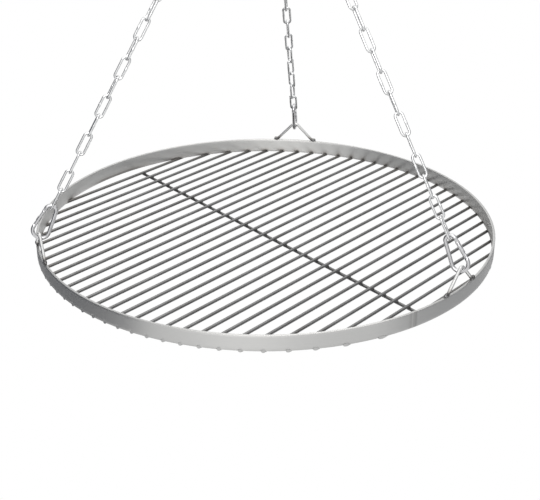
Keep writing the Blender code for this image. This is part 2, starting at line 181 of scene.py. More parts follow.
place_camera()
build_world()
build_floor()
for name, place, facing, up, size, grey in (
        ("left_flag", (-1.05, 0.2, 0.0), rightward, upright, (2.0, 1.3), (0.14, 0.145, 0.16)),
        ("right_flag", (1.1, 0.2, 0.0), -rightward, upright, (2.0, 1.3), (0.44, 0.445, 0.455)),
        ("back_flag", (0.0, 1.05, 0.05), to_viewer, upright, (2.1, 0.34), (0.16, 0.16, 0.165)),
        ("low_back_flag", (0.0, 1.05, -0.52), to_viewer, upright, (2.1, 0.2), (0.16, 0.16, 0.165)),
        ("under_flag", (0.0, 0.05, -0.57), upright, away, (0.84, 0.84), (0.09, 0.09, 0.09))):
    build_flag(name, studio_point(*place), facing, up, *size, grey)
lamp_aim = studio_point(0.0, 0.0, 0.1)
for name, place, size, power in (
        ("top_lamp", (0.2, 0.2, 1.7), (1.4, 1.4), 8.0),
        ("front_lamp", (-0.3, -1.9, 1.1), (1.2, 0.9), 14.0),
        ("back_lamp", (0.6, 1.6, 2.2), (1.2, 0.8), 3.0)):
    add_lamp(name, studio_point(*place), lamp_aim, size, power)
bpy.context.scene.view_settings.view_transform = "Standard"

# Band: the rim, a stainless flat bar rolled on edge to a hoop and butt-welded, the weld ground flush.
# Its lower edge has a half-round notch for each end of each rod. Both edges are lightly broken, and the
# welding of the rods has left small heat stains on the inside.
rim_radius = band_high.x
rim_wall = 0.003
rim_edge = 0.0004                            # broken edge
edge_bow = 0.3                               # how far in a broken edge's middle lies, of its width
rim_rows = 6                                 # faces up each wall
rim_turn_steps = 36                          # columns round each side that has no rods
rod_gap = 0.0003
rod_count = 29
rod_low, rod_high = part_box("rod_01")
rod_radius = 0.5 * (rod_high.z - rod_low.z)
rod_level = band_low.z
first_rod = 0.5 * (rod_low.y + rod_high.y)
rod_pitch = -2.0 * first_rod / (rod_count - 1)
notch_radius = rod_radius + rod_gap
notch_steps = 10
notch_edge = 0.00005
notch_lip = 2e-5                             # between a notch's side and the flat edge
seam_angle = radians(255.9)                  # the butt weld, round the hoop


def loft(name, rings, path_closed=False):
    """A mesh through closed rings that have as many points each, with caps on an open path's ends."""
    mesh = bpy.data.meshes.new(name)
    shape = bmesh.new()
    rows = [[shape.verts.new(point) for point in ring] for ring in rings]
    around = len(rings[0])
    for index in range(len(rows) if path_closed else len(rows) - 1):
        here, there = rows[index], rows[(index + 1) % len(rows)]
        for spot in range(around):
            after = (spot + 1) % around
            shape.faces.new((here[spot], here[after], there[after], there[spot]))
    if not path_closed:
        shape.faces.new(rows[0])
        shape.faces.new(rows[-1])
    bmesh.ops.recalc_face_normals(shape, faces=shape.faces)
    shape.to_mesh(mesh)
    shape.free()
    return mesh


def show(name, mesh, surface, sharp=40.0):
    """Puts a finished mesh in the scene, smooth but for its sharp edges."""
    mesh.materials.clear()
    mesh.materials.append(surface)
    mesh.shade_smooth()
    mesh.set_sharp_from_angle(angle=radians(sharp))
    return placed(name, mesh)


def rim_columns():
    """Where the hoop is cut into columns: each has a place for every radius, and its lower edge's height."""
    last_notch = abs(first_rod) + notch_radius
    heights = {}
    for index in range(rod_count):
        rod = first_rod + index * rod_pitch
        heights[rod - notch_radius - notch_lip] = 0.0
        for step in range(notch_steps + 1):
            angle = pi - pi * step / notch_steps
            heights[rod + notch_radius * cos(angle)] = notch_radius * sin(angle)
        heights[rod + notch_radius + notch_lip] = 0.0
        if index < rod_count - 1:
            for share in (0.31, 0.50, 0.69):
                heights[rod + rod_pitch * share] = 0.0
    across = sorted(heights)
    right = [("along", y, 1.0, heights[y]) for y in across]
    left = [("along", y, -1.0, heights[y]) for y in reversed(across)]
    start = asin(last_notch / rim_radius)
    turns = [start + (pi - 2.0 * start) * step / rim_turn_steps for step in range(2, rim_turn_steps - 1)]
    top = [("turn", angle, 1.0, 0.0) for angle in turns]
    bottom = [("turn", angle + pi, 1.0, 0.0) for angle in turns]
    return right + top + left + bottom


def rim_place(column, radius):
    kind, value, side, _ = column
    if kind == "along":
        return side * sqrt(radius ** 2 - value ** 2), value
    return radius * cos(value), radius * sin(value)


def rim_mesh():
    inner = rim_radius - rim_wall
    top = band_high.z
    high = top - rim_edge
    bow = edge_bow * rim_edge
    rings = []
    for column in rim_columns():
        lift = column[3]
        edge = rim_edge if lift == 0.0 else notch_edge
        foot = rod_level + lift
        low = foot + edge
        low_bow = edge_bow * edge
        profile = [(rim_radius, high), (rim_radius - bow, top - bow), (rim_radius - rim_edge, top),
                   (inner + rim_edge, top), (inner + bow, top - bow), (inner, high)]
        profile += [(inner, high + (low - high) * row / rim_rows) for row in range(1, rim_rows)]
        profile += [(inner, low), (inner + low_bow, foot + low_bow), (inner + edge, foot),
                    (rim_radius - edge, foot), (rim_radius - low_bow, foot + low_bow), (rim_radius, low)]
        profile += [(rim_radius, low + (high - low) * row / rim_rows) for row in range(1, rim_rows)]
        rings.append([(*rim_place(column, radius), height) for radius, height in profile])
    return loft("rim", rings, path_closed=True)


def add_arc_uv(mesh):
    """A UV map that runs round the hoop and up it, both in metres."""
    layer = mesh.uv_layers.new(name="UVMap")
    for face in mesh.polygons:
        angles = [atan2(mesh.vertices[index].co.y, mesh.vertices[index].co.x) for index in face.vertices]
        wraps = max(angles) - min(angles) > pi
        for corner, angle in zip(face.loop_indices, angles):
            turn = angle + 2.0 * pi if wraps and angle < 0.0 else angle
            point = mesh.vertices[mesh.loops[corner].vertex_index].co
            out = sqrt(point.x ** 2 + point.y ** 2) - rim_radius
            layer.data[corner].uv = (turn * rim_radius, point.z - out)


def feed(tree, node, inputs):
    """Sets a node's inputs, or links them to a socket or to another node's first output."""
    for socket, value in dict(inputs).items():
        if isinstance(value, bpy.types.Node):
            value = value.outputs[0]
        if isinstance(value, bpy.types.NodeSocket):
            tree.links.new(value, node.inputs[socket])
        else:
            node.inputs[socket].default_value = value


def add_node(tree, kind, inputs, settings):
    node = tree.nodes.new(kind)
    for key, value in settings.items():
        setattr(node, key, value)
    feed(tree, node, inputs)
    return node


def steel_material(name, colour, roughness):
    """A metal surface, and the functions that add nodes to it and feed its shader."""
    surface = bpy.data.materials.new(name)
    surface.use_nodes = True
    tree = surface.node_tree
    shader = tree.nodes["Principled BSDF"]
    feed(tree, shader, {"Base Color": (*colour, 1.0), "Roughness": roughness, "Metallic": 1.0})

    def add(kind, inputs=(), **settings):
        return add_node(tree, "ShaderNode" + kind, inputs, settings)

    def calc(operation, first, second=0.0, third=0.0, clamp=False):
        return add("Math", {0: first, 1: second, 2: third}, operation=operation, use_clamp=clamp)

    def ramp(value, low, high):
        return add("MapRange", {"Value": value, "From Min": low, "From Max": high}, clamp=True)

    def blend(amount, first, second):
        first, second = ((*value, 1.0) if isinstance(value, tuple) else value for value in (first, second))
        return add("Mix", {"Factor": amount, 6: first, 7: second}, data_type="RGBA").outputs[2]

    def noise(vector, scale, detail, rough=0.5):
        return add("TexNoise", {"Vector": vector, "Scale": scale, "Detail": detail, "Roughness": rough})

    def finish(colour, rough, grain, strength, depth):
        bump = add("Bump", {"Height": grain, "Strength": strength, "Distance": depth})
        feed(tree, shader, {"Base Color": colour, "Roughness": rough, "Normal": bump})

    return surface, add, calc, ramp, blend, noise, finish


def length(calc, first, second):
    """The length of a line that runs so far along two axes."""
    return calc("SQRT", calc("MULTIPLY_ADD", first, first, calc("MULTIPLY", second, second)))


def brushed_rim_steel():
    """Satin steel brushed along the bar, painted paler inside as painted light, with the butt weld's patch
    and the rods' stains.
    """
    clean, inside_painted_light, streak = (0.56, 0.56, 0.553), (0.70, 0.70, 0.69), (0.47, 0.47, 0.465)
    seam_tint, toe, ground = (0.47, 0.465, 0.455), (0.36, 0.36, 0.355), (0.72, 0.72, 0.71)
    straw, brown = (0.40, 0.37, 0.33), (0.17, 0.155, 0.145)
    surface, add, calc, ramp, blend, noise, finish = steel_material("brushed_rim_steel", clean, 0.34)
    strip = add("UVMap", uv_map="UVMap")
    along = add("Mapping", {"Vector": strip, "Scale": (9.0, 2600.0, 1.0)})
    brushing = noise(along, 1.0, 4.0, 0.65)
    long_along = add("Mapping", {"Vector": strip, "Scale": (3.0, 330.0, 1.0)})
    streaks = noise(long_along, 1.0, 3.0)
    place = add("TexCoord").outputs["Object"]
    cloud = noise(place, 14.0, 3.0)
    parts = add("SeparateXYZ", {"Vector": place})
    x, y, z = (parts.outputs[axis] for axis in "XYZ")
    # stains: round each rod's end, on the inside of the hoop
    nearest = calc("PINGPONG", calc("ADD", y, 40.0 * rod_pitch), 0.5 * rod_pitch)
    height = calc("SUBTRACT", z, rod_level + 0.5 * rod_radius)
    reach = calc("MULTIPLY_ADD", calc("SUBTRACT", cloud, 0.5), 0.005, length(calc, nearest, height))
    inside = ramp(length(calc, x, y), rim_radius - 0.4 * rim_wall, rim_radius - 0.9 * rim_wall)
    stain = calc("MULTIPLY", ramp(reach, 0.0085, 0.0030), inside)
    burn = calc("MULTIPLY", ramp(reach, 0.0042, 0.0020), inside)
    # the butt weld's patch, with a bright ground line and a dark toe
    seam_x, seam_y = cos(seam_angle), sin(seam_angle)
    aside = calc("MULTIPLY_ADD", x, -seam_y, calc("MULTIPLY", y, seam_x))
    front = ramp(calc("MULTIPLY_ADD", x, seam_x, calc("MULTIPLY", y, seam_y)), 0.0, 0.1)
    ragged = calc("ABSOLUTE", calc("MULTIPLY_ADD", cloud, 0.002, aside))
    patch = calc("MULTIPLY", ramp(ragged, 0.0075, 0.0035), front)
    ground_line = ramp(calc("ABSOLUTE", calc("ADD", aside, 0.0022)), 0.0014, 0.0004)
    toe_line = ramp(calc("ABSOLUTE", calc("SUBTRACT", aside, 0.0030)), 0.0016, 0.0004)
    streaked = calc("MULTIPLY", calc("SUBTRACT", streaks, 0.35), 0.5, clamp=True)
    colour = clean
    for amount, tint in (
            (calc("MULTIPLY", patch, 0.7), seam_tint),
            (calc("MULTIPLY", toe_line, calc("MULTIPLY", front, 0.5)), toe),
            (calc("MULTIPLY", ground_line, calc("MULTIPLY", front, 0.45)), ground),
            (streaked, streak),
            # painted light: the inside of the hoop is painted paler, as if more light fell there
            (calc("MULTIPLY", inside, 0.8), inside_painted_light),
            (calc("MULTIPLY", stain, 0.35), straw),
            (calc("MULTIPLY", burn, 0.55), brown)):
        colour = blend(amount, colour, tint)
    rough = calc("MULTIPLY_ADD", cloud, 0.06, calc("MULTIPLY_ADD", brushing, 0.16, 0.33))
    finish(colour, calc("MULTIPLY_ADD", patch, 0.08, rough), brushing, 0.22, 0.00008)
    shader = surface.node_tree.nodes["Principled BSDF"]
    shader.inputs["Anisotropic"].default_value = 0.75
    shader.inputs["Anisotropic Rotation"].default_value = 0.25      # glints run across the brushing
    return surface


rim_shape = rim_mesh()
add_arc_uv(rim_shape)
rim = show("rim_band", rim_shape, brushed_rim_steel())
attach(rim, "grate")
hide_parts("band")

# Rods: parallel drawn stainless rods, each lying in two notches of the hoop, their ends dressed flush with
# its outside. One Geometry Nodes tree makes them all.
rod_sides = 20
rod_stations = 24                            # points along each rod
rod_end_inset = 0.00025                      # from the hoop's outside
rod_end_zone = 0.0065                        # points so near a rod's end are dressed


def node_tree(name, inputs):
    """An empty Geometry Nodes tree with named inputs, and the functions that fill it."""
    tree = bpy.data.node_groups.new(name, "GeometryNodeTree")
    tree.interface.new_socket("Geometry", in_out="OUTPUT", socket_type="NodeSocketGeometry")
    tree.interface.new_socket("Geometry", in_out="INPUT", socket_type="NodeSocketGeometry")
    for label, kind in inputs:
        tree.interface.new_socket(label, in_out="INPUT", socket_type="NodeSocket" + kind)
    start = tree.nodes.new("NodeGroupInput")
    end = tree.nodes.new("NodeGroupOutput")

    def add(kind, inputs=(), **settings):
        return add_node(tree, "GeometryNode" + kind, inputs, settings)

    def field(kind, inputs=(), **settings):
        return add_node(tree, kind, inputs, settings)

    def calc(operation, first, second=0.0, third=0.0):
        return field("ShaderNodeMath", {0: first, 1: second, 2: third}, operation=operation)

    def finish(geometry, surface):
        real = add("RealizeInstances", {"Geometry": geometry})
        coat = add("SetMaterial", {"Geometry": real, "Material": surface})
        feed(tree, end, {0: coat})

    return tree, start.outputs, add, field, calc, finish


def evaluated(carrier):
    """A plain mesh of what an object's modifiers make."""
    bpy.context.view_layer.update()
    return bpy.data.meshes.new_from_object(carrier.evaluated_get(bpy.context.evaluated_depsgraph_get()))


def grown_mesh(name, tree, values, seeds=None):
    """The plain mesh that a tree makes from these input values, and from seed points where it needs them."""
    carrier = placed(name, seeds or bpy.data.meshes.new(name))
    growth = carrier.modifiers.new("Growth", "NODES")
    growth.node_group = tree
    for item in tree.interface.items_tree:
        if item.in_out == "INPUT" and item.name in values:
            growth[item.identifier] = values[item.name]
    mesh = evaluated(carrier)
    carrier.modifiers.remove(growth)
    bpy.data.objects.remove(carrier)
    mesh.name = name
    return mesh


def rod_tree(surface):
    tree, given, add, field, calc, finish = node_tree("grill_rods", [
        ("Count", "Int"), ("Pitch", "Float"), ("Rod Radius", "Float"), ("Hoop Radius", "Float"),
        ("Level", "Float"), ("End Inset", "Float")])
    count, pitch, radius, hoop = (given[label] for label in ("Count", "Pitch", "Rod Radius", "Hoop Radius"))

    def half_chord(offset):
        return calc("SQRT", calc("SUBTRACT", calc("MULTIPLY", hoop, hoop), calc("MULTIPLY", offset, offset)))

    index = add("InputIndex")
    centred = calc("SUBTRACT", index, calc("MULTIPLY", calc("SUBTRACT", count, 1.0), 0.5))
    spot_y = calc("MULTIPLY", centred, pitch)
    spots = add("Points", {"Count": count})
    place = field("ShaderNodeCombineXYZ", {"Y": spot_y, "Z": given["Level"]})
    laid = add("SetPosition", {"Geometry": spots, "Position": place})
    stretch = field("ShaderNodeCombineXYZ", {"X": half_chord(spot_y), "Y": 1.0, "Z": 1.0})
    line = add("CurvePrimitiveLine", {"Start": (-1.0, 0.0, 0.0), "End": (1.0, 0.0, 0.0)})
    rods = add("InstanceOnPoints", {"Points": laid, "Instance": line, "Scale": stretch})
    lines = add("RealizeInstances", {"Geometry": rods})
    fine = add("ResampleCurve", {"Curve": lines, "Count": rod_stations})
    ring = add("CurvePrimitiveCircle", {"Resolution": rod_sides, "Radius": radius})
    tubes = add("CurveToMesh", {"Curve": fine, "Profile Curve": ring, "Fill Caps": True})
    # dress the ends to the hoop's round
    here = field("ShaderNodeSeparateXYZ", {"Vector": add("InputPosition")}).outputs
    flush = calc("SUBTRACT", half_chord(here["Y"]), given["End Inset"])
    bow = calc("MULTIPLY", calc("SIGN", here["X"]), flush)
    at_end = calc("GREATER_THAN", calc("ABSOLUTE", here["X"]), calc("SUBTRACT", flush, rod_end_zone))
    dressed = field("ShaderNodeCombineXYZ", {"X": bow, "Y": here["Y"], "Z": here["Z"]})
    ends = add("SetPosition", {"Geometry": tubes, "Selection": at_end, "Position": dressed})
    finish(ends, surface)
    return tree


def drawn_rod_steel():
    """Drawn steel: fine lines along the rod, clouded by heat near the hoop and bright where it is dressed."""
    clean, dull, bright = (0.235, 0.235, 0.235), (0.175, 0.172, 0.169), (0.52, 0.52, 0.515)
    straw, burnt = (0.17, 0.158, 0.145), (0.12, 0.114, 0.11)
    surface, add, calc, ramp, blend, noise, finish = steel_material("drawn_rod_steel", clean, 0.32)
    place = add("TexCoord").outputs["Object"]
    lines = add("Mapping", {"Vector": place, "Scale": (30.0, 2600.0, 2600.0)})
    drawing = noise(lines, 1.0, 3.0)
    cloud = noise(place, 22.0, 4.0, 0.6)
    parts = add("SeparateXYZ", {"Vector": place})
    radius = length(calc, parts.outputs["X"], parts.outputs["Y"])
    from_rim = calc("SUBTRACT", rim_radius - rim_wall, radius)
    from_rim = calc("MULTIPLY_ADD", calc("SUBTRACT", cloud, 0.5), 0.014, from_rim)
    colour = blend(ramp(cloud, 0.35, 0.7), clean, dull)
    colour = blend(calc("MULTIPLY", ramp(from_rim, 0.022, 0.004), 0.6), colour, straw)
    colour = blend(calc("MULTIPLY", ramp(from_rim, 0.006, 0.0), 0.8), colour, burnt)
    colour = blend(ramp(radius, rim_radius - 0.5 * rim_wall, rim_radius - 0.2 * rim_wall), colour, bright)
    rough = calc("MULTIPLY_ADD", cloud, 0.12, calc("MULTIPLY_ADD", drawing, 0.12, 0.30))
    finish(colour, rough, drawing, 0.15, 0.00005)
    return surface


rod_steel = drawn_rod_steel()
rod_shape = grown_mesh("grill_rods", rod_tree(rod_steel), {
    "Count": rod_count, "Pitch": rod_pitch, "Rod Radius": rod_radius, "Hoop Radius": rim_radius,
    "Level": rod_level, "End Inset": rod_end_inset})
rods = show("grill_rods", rod_shape, rod_steel, 50.0)
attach(rods, "grate")
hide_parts(*["rod_%02d" % (number + 1) for number in range(rod_count)])

# Cross bar: one more drawn rod laid under all the others, a little askew, and spot-welded to each of them
# where they cross. Its ends are sheared and lightly rounded.
bar_skew = radians(7.6)
bar_overhang = 0.003
bar_steps = 40
bar_edge = 0.3                               # how far its ends are rounded, of its radius
bar_low, bar_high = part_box("cross_bar")
bar_level = 0.5 * (bar_low.z + bar_high.z)
bar_reach = (abs(first_rod) + rod_radius + bar_overhang) / cos(bar_skew)


def bent_wire(name, points, sections, place, sides=20, closed=False):
    """A bar bent in its own XY plane. A section is its half width, half thickness and squareness there."""
    rings = []
    last = len(points) - 1
    for index, (point, (width, depth, square)) in enumerate(zip(points, sections)):
        before = points[index - 1] if index > 0 or closed else point
        after = points[(index + 1) % len(points)] if index < last or closed else point
        ahead = (after - before).normalized()
        side = Vector((ahead.y, -ahead.x))
        ring = []
        for step in range(sides):
            angle = 2.0 * pi * step / sides
            across, over = (copysign(abs(value) ** square, value) for value in (cos(angle), sin(angle)))
            spot = point + side * width * across
            ring.append(place @ Vector((spot.x, spot.y, depth * over)))
        rings.append(ring)
    return loft(name, rings, path_closed=closed)


def sheared_ends(reach, radius):
    """Stations and sections of a straight bar along X with lightly rounded ends."""
    edge = bar_edge * radius
    ends = [(0.0, radius - edge), (edge_bow * edge, radius - edge_bow * edge), (edge, radius)]
    stations = [(-reach + along, size) for along, size in ends]
    stations += [(-reach + 2.0 * reach * step / bar_steps, radius) for step in range(1, bar_steps)]
    stations += [(reach - along, size) for along, size in reversed(ends)]
    return [Vector((x, 0.0)) for x, _ in stations], [(size, size, 1.0) for _, size in stations]


bar_place = Matrix.Translation((0.0, 0.0, bar_level)) @ Matrix.Rotation(0.5 * pi - bar_skew, 4, "Z")
bar_shape = bent_wire("cross_bar_rod", *sheared_ends(bar_reach, rod_radius), bar_place)
bar = show("cross_bar_rod", bar_shape, rod_steel)
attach(bar, "grate")
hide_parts("cross_bar")

# Weld beads: small lumps of filler wire, darkened by their own heat. One closes each rod's end against the
# inside of the hoop, and one holds each rod on the cross bar.
bead_seed = 7
end_bead = (0.0030, 0.0054, 0.0032)          # along the rod, across it, and high
end_bead_shift = 0.0002                      # in from the hoop and up from the rod's middle
cross_bead = (0.0050, 0.0034, 0.0022)
bead_lumps = 0.0009
lump_scale = 700.0


def bead_tree(surface):
    tree, given, add, field, calc, finish = node_tree("weld_beads", [
        ("Size", "Vector"), ("Lumps", "Float"), ("Lump Scale", "Float"), ("Seed", "Int")])
    turn = add("InputNamedAttribute", {"Name": "turn"}, data_type="FLOAT")
    turned = field("FunctionNodeEulerToRotation", {0: field("ShaderNodeCombineXYZ", {"Z": turn})})
    swell = field("FunctionNodeRandomValue", {"Min": (0.82, 0.82, 0.82), "Max": (1.12, 1.18, 1.12),
                                              "Seed": given["Seed"]}, data_type="FLOAT_VECTOR")
    size = field("ShaderNodeVectorMath", {0: given["Size"], 1: swell}, operation="MULTIPLY")
    half_size = field("ShaderNodeVectorMath", {0: size, 1: (0.5, 0.5, 0.5)}, operation="MULTIPLY")
    drop = add("MeshIcoSphere", {"Radius": 1.0, "Subdivisions": 4})
    beads = add("InstanceOnPoints", {"Points": given["Geometry"], "Instance": drop, "Rotation": turned,
                                     "Scale": half_size})
    solid = add("RealizeInstances", {"Geometry": beads})
    noise = field("ShaderNodeTexNoise", {"Scale": given["Lump Scale"], "Detail": 2.0})
    push = calc("MULTIPLY", calc("SUBTRACT", noise, 0.5), given["Lumps"])
    normal = add("InputNormal")
    offset = field("ShaderNodeVectorMath", {0: normal, "Scale": push}, operation="SCALE")
    lumpy = add("SetPosition", {"Geometry": solid, "Offset": offset})
    finish(lumpy, surface)
    return tree


def bead_mesh(name, tree, places, size, lumps):
    """Beads at places, each given with the turn of its length about Z."""
    seeds = bpy.data.meshes.new(name)
    seeds.from_pydata([place for place, _ in places], [], [])
    turn = seeds.attributes.new("turn", "FLOAT", "POINT")
    turn.data.foreach_set("value", [angle for _, angle in places])
    values = {"Size": size, "Lumps": lumps, "Lump Scale": lump_scale, "Seed": bead_seed}
    return grown_mesh(name, tree, values, seeds)


def welded_steel():
    """Filler steel: dull, rippled and in places darkened by heat."""
    surface, add, calc, ramp, blend, noise, finish = steel_material("welded_steel", (0.16, 0.16, 0.16), 0.42)
    place = add("TexCoord").outputs["Object"]
    grain = noise(place, 1700.0, 2.0)
    colour = blend(ramp(noise(place, 260.0, 3.0), 0.38, 0.62), (0.24, 0.24, 0.245), (0.11, 0.105, 0.102))
    finish(colour, calc("MULTIPLY_ADD", grain, 0.22, 0.32), grain, 0.5, 0.0002)
    return surface


weld_steel = welded_steel()
weld_tree = bead_tree(weld_steel)
end_places = []
cross_places = []
for number in range(rod_count):
    rod_y = first_rod + number * rod_pitch
    rod_x = sqrt((rim_radius - rim_wall) ** 2 - rod_y ** 2)
    lean = atan2(rod_y, rod_x)
    for side in (-1.0, 1.0):
        spot = (side * (rod_x - end_bead_shift), rod_y, rod_level + end_bead_shift)
        end_places.append((spot, side * lean))
    crossing_x = rod_y * sin(bar_skew) / cos(bar_skew)
    cross_places.append(((crossing_x, rod_y, rod_level - rod_radius), 0.0))
for name, places, size in (
        ("rod_end_welds", end_places, end_bead), ("cross_bar_welds", cross_places, cross_bead)):
    welds = show(name, bead_mesh(name, weld_tree, places, size, bead_lumps), weld_steel, 180.0)
    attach(welds, "grate")

# Bails: three hangers of drawn stainless wire, each bent to an inverted V with its feet turned out along
# the hoop's upper edge, where a dark weld blob holds each foot.
bail_azimuths = {"back": radians(33.0), "left": radians(151.5), "right": radians(272.0)}
bail_wire = 0.004
bail_width = 0.052                           # between the bends above the feet
bail_height = 0.027                          # from the hoop to the middle of the wire at the top
bail_top_radius = 0.0055
bail_foot_length = 0.0055
bail_foot_radius = 0.003
foot_gap = 0.0003
foot_bead = (0.0082, 0.0047, 0.0058)         # along the hoop, across it, and high
foot_bead_rise = 0.0014                      # of its middle above the hoop
foot_lumps = 0.0014
bail_radius = sqrt((rim_radius - 0.5 * rim_wall) ** 2 - (0.5 * (bail_width + bail_foot_length)) ** 2)


def arc(centre, radius, start, end, steps):
    """Points on a circle in a plane, both ends included."""
    angles = [start + (end - start) * step / steps for step in range(steps + 1)]
    return [Vector((centre[0] + radius * cos(angle), centre[1] + radius * sin(angle))) for angle in angles]


def rounded(corners, radii, steps):
    """An open outline whose inner corners are rounded by arcs."""
    points = [Vector(corners[0])]
    for index in range(1, len(corners) - 1):
        before, corner, after = (Vector(corners[index + offset]) for offset in (-1, 0, 1))
        back, ahead = (before - corner).normalized(), (after - corner).normalized()
        half_open = 0.5 * acos(back.dot(ahead))
        radius = radii[index - 1]
        centre = corner + (back + ahead).normalized() * radius / sin(half_open)
        first = corner + back * radius * cos(half_open) / sin(half_open) - centre
        turn = copysign(pi - 2.0 * half_open, ahead.x * back.y - ahead.y * back.x)
        start = atan2(first.y, first.x)
        points += arc(centre, radius, start, start + turn, steps)
    return points + [Vector(corners[-1])]


def finer(points, step):
    """The same outline with a point at least every step."""
    fine = [points[0]]
    for start, end in zip(points, points[1:]):
        parts = max(1, round((end - start).length / step))
        fine += [start.lerp(end, part / parts) for part in range(1, parts + 1)]
    return fine


def frame_of(across, up, origin):
    """A place whose X is across, whose Y is up and whose Z is square to both."""
    turn = Matrix((across, up, across.cross(up))).transposed()
    return Matrix.Translation(origin) @ turn.to_4x4()


def radial(side):
    return Vector((cos(bail_azimuths[side]), sin(bail_azimuths[side]), 0.0))


def bail_outline():
    foot = 0.5 * bail_wire + foot_gap
    reach = 0.5 * bail_width
    crown = bail_height - bail_top_radius - foot
    leg_angle = atan2(crown, reach) + asin(bail_top_radius / sqrt(crown ** 2 + reach ** 2))
    tip = foot + reach * sin(leg_angle) / cos(leg_angle)
    corners = [(-reach - bail_foot_length, foot), (-reach, foot), (0.0, tip), (reach, foot),
               (reach + bail_foot_length, foot)]
    return finer(rounded(corners, [bail_foot_radius, bail_top_radius, bail_foot_radius], 12), 0.001)


def drawn_bail_steel():
    """Bright drawn wire that the welding has tinted straw and then dark near the hoop."""
    clean, straw, dark = (0.74, 0.74, 0.735), (0.48, 0.46, 0.43), (0.13, 0.127, 0.127)
    surface, add, calc, ramp, blend, noise, finish = steel_material("drawn_bail_steel", clean, 0.2)
    place = add("TexCoord").outputs["Object"]
    cloud = noise(place, 120.0, 3.0)
    scratch = noise(place, 1500.0, 3.0)
    height = calc("SUBTRACT", add("SeparateXYZ", {"Vector": place}).outputs["Z"], band_high.z)
    height = calc("MULTIPLY_ADD", calc("SUBTRACT", cloud, 0.5), 0.005, height)
    colour = blend(calc("MULTIPLY", ramp(height, 0.0095, 0.0055), 0.8), clean, straw)
    colour = blend(ramp(height, 0.0062, 0.0034), colour, dark)
    rough = calc("MULTIPLY_ADD", scratch, 0.10, 0.24)
    rough = calc("MULTIPLY_ADD", ramp(height, 0.006, 0.003), 0.18, rough)
    finish(colour, rough, scratch, 0.12, 0.00005)
    return surface


bail_steel = drawn_bail_steel()
outline = bail_outline()
sections = [(0.5 * bail_wire, 0.5 * bail_wire, 1.0)] * len(outline)
foot_places = []
for side in bail_azimuths:
    along = upright.cross(radial(side))
    seat = radial(side) * bail_radius + upright * band_high.z
    bail_shape = bent_wire("bail_wire_" + side, outline, sections, frame_of(along, upright, seat))
    bail = show("bail_wire_" + side, bail_shape, bail_steel)
    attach(bail, "grate")
    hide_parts("bail_" + side)
    for foot_side in (-1.0, 1.0):
        foot = 0.5 * (bail_width + bail_foot_length) * foot_side
        spot = seat + along * foot + upright * foot_bead_rise
        foot_places.append((spot, bail_azimuths[side] + 0.5 * pi))
foot_shape = bead_mesh("bail_foot_welds", weld_tree, foot_places, foot_bead, foot_lumps)
foot_welds = show("bail_foot_welds", foot_shape, weld_steel, 180.0)
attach(foot_welds, "grate")

# Gather ring: a butt-welded ring of plated wire that carries the three chains and hangs in the top hook.
# The weld shows as a slight swelling at one side.
ring_low, ring_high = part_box("ring")
ring_wire = 0.005
ring_centre = 0.5 * (ring_low.z + ring_high.z)
ring_radius = 0.5 * (ring_high.z - ring_low.z - ring_wire)
ring_steps = 96
ring_sides = 24
ring_weld_angle = 0.9 * pi
ring_weld_spread = 0.0018
ring_swelling = 0.00035


def plated_steel(name, colour, roughness, dulling):
    """Bright plating: fine scratches and faint cloudy dull patches."""
    surface, add, calc, ramp, blend, noise, finish = steel_material(name, colour, roughness)
    place = add("TexCoord").outputs["Object"]
    dulled = ramp(noise(place, 90.0, 4.0, 0.6), 0.45, 0.75)
    scratch = noise(place, 1300.0, 3.0)
    rough = calc("MULTIPLY_ADD", scratch, 0.06, roughness - 0.04)
    tone = blend(dulled, colour, tuple(dulling * value for value in colour))
    finish(tone, calc("MULTIPLY_ADD", dulled, 0.08, rough), scratch, 0.10, 0.00004)
    return surface


hook_steel = plated_steel("polished_hook_steel", (0.60, 0.60, 0.61), 0.15, 0.84)
turns = [2.0 * pi * step / ring_steps for step in range(ring_steps)]
ring_points = [Vector((cos(angle), sin(angle))) * ring_radius for angle in turns]
ring_sizes = [0.5 * ring_wire + ring_swelling
              * exp(-((angle - ring_weld_angle) * ring_radius / ring_weld_spread) ** 2) for angle in turns]
ring_place = Matrix.Translation((0.0, 0.0, ring_centre)) @ Matrix.Rotation(0.5 * pi, 4, "X")
ring_shape = bent_wire("gather_ring_wire", ring_points, [(size, size, 1.0) for size in ring_sizes],
                       ring_place, ring_sides, True)
ring = show("gather_ring_wire", ring_shape, hook_steel)
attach(ring, "gather_ring")
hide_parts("ring")

# Chains: three lengths of zinc-plated long-link chain, 21 links each, every link bent from 3 mm wire and
# butt-welded at the middle of one long side. Each link stands about square to the next, with a slow twist.
link_wire = 0.003
link_pitch = 0.026
link_width = 0.012
link_count = 21
link_stations, link_bend_steps, link_sides = 60, 10, 14
link_play = 0.0001                           # between neighbouring links
link_bed = 0.0005                            # how far neighbouring links sink together
link_turns = {"back": radians(12.0), "left": radians(25.0), "right": radians(-25.0)}
half_turns = {"back": 1, "left": 0, "right": 0}
link_roll = radians(3.0)                     # how far a link may lie off its place
link_swelling = 0.00022                      # of its butt weld
link_weld_spread = 0.0016
chain_seed = {"back": 3, "left": 5, "right": 11}
running_gap = 0.0003
snap_length, snap_wire, snap_wide, snap_narrow = 0.050, 0.005, 0.025, 0.018
head_spacing = 0.0078                        # between the chains' upper ends, along the ring
ring_angles = {"left": -head_spacing / ring_radius, "right": 0.0, "back": head_spacing / ring_radius}
snap_seat = 0.5 * (bail_wire + snap_wire) + running_gap
chain_foot = snap_length - snap_wire - snap_seat - 0.5 * (snap_wire + link_wire) - running_gap


def leg(side):
    """The two ends of a chain's line: on the ring's wire, and in the top of the bail."""
    angle = ring_angles[side]
    upper = Vector((ring_radius * sin(angle), 0.0, ring_centre - ring_radius * cos(angle)))
    lower = radial(side) * bail_radius + upright * (band_high.z + bail_height)
    return upper, lower


